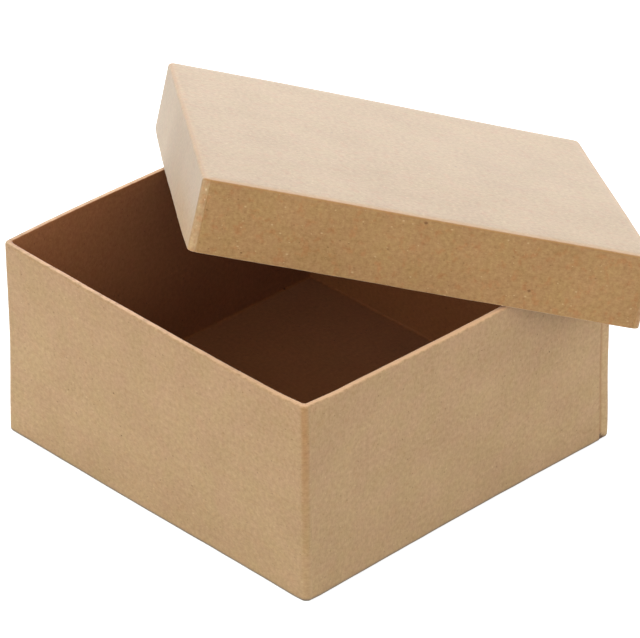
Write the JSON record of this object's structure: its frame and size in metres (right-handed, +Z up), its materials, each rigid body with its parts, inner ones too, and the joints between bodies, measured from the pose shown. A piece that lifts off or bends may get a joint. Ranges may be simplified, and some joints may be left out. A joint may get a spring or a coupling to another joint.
{
  "type": "kraft paper box",
  "caption": "Square kraft paper gift box of folded, papered board: an open tray with its loose lid laid askew and leaning across the rim.",
  "frame": {"origin": "centre of the base's flat underside, where the box stands", "axes": "+Z up out of the open base; X and Y along the base's walls, with +X the wall on the right of the picture and -Y the wall on its left"},
  "size_m": [0.2206, 0.2298, 0.1271],
  "materials": {
    "base_kraft": "matte kraft paper over board",
    "lid_kraft": "matte kraft paper over board"
  },
  "bodies": {
    "base": {"base": "base_kraft"},
    "lid": {"lid": "lid_kraft"}
  },
  "joints": [
    {"name": "lid_lift", "type": "slide", "parent": "base", "child": "lid", "axis": [0, 0, 1], "range_m": [0, 0.08]}
  ]
}
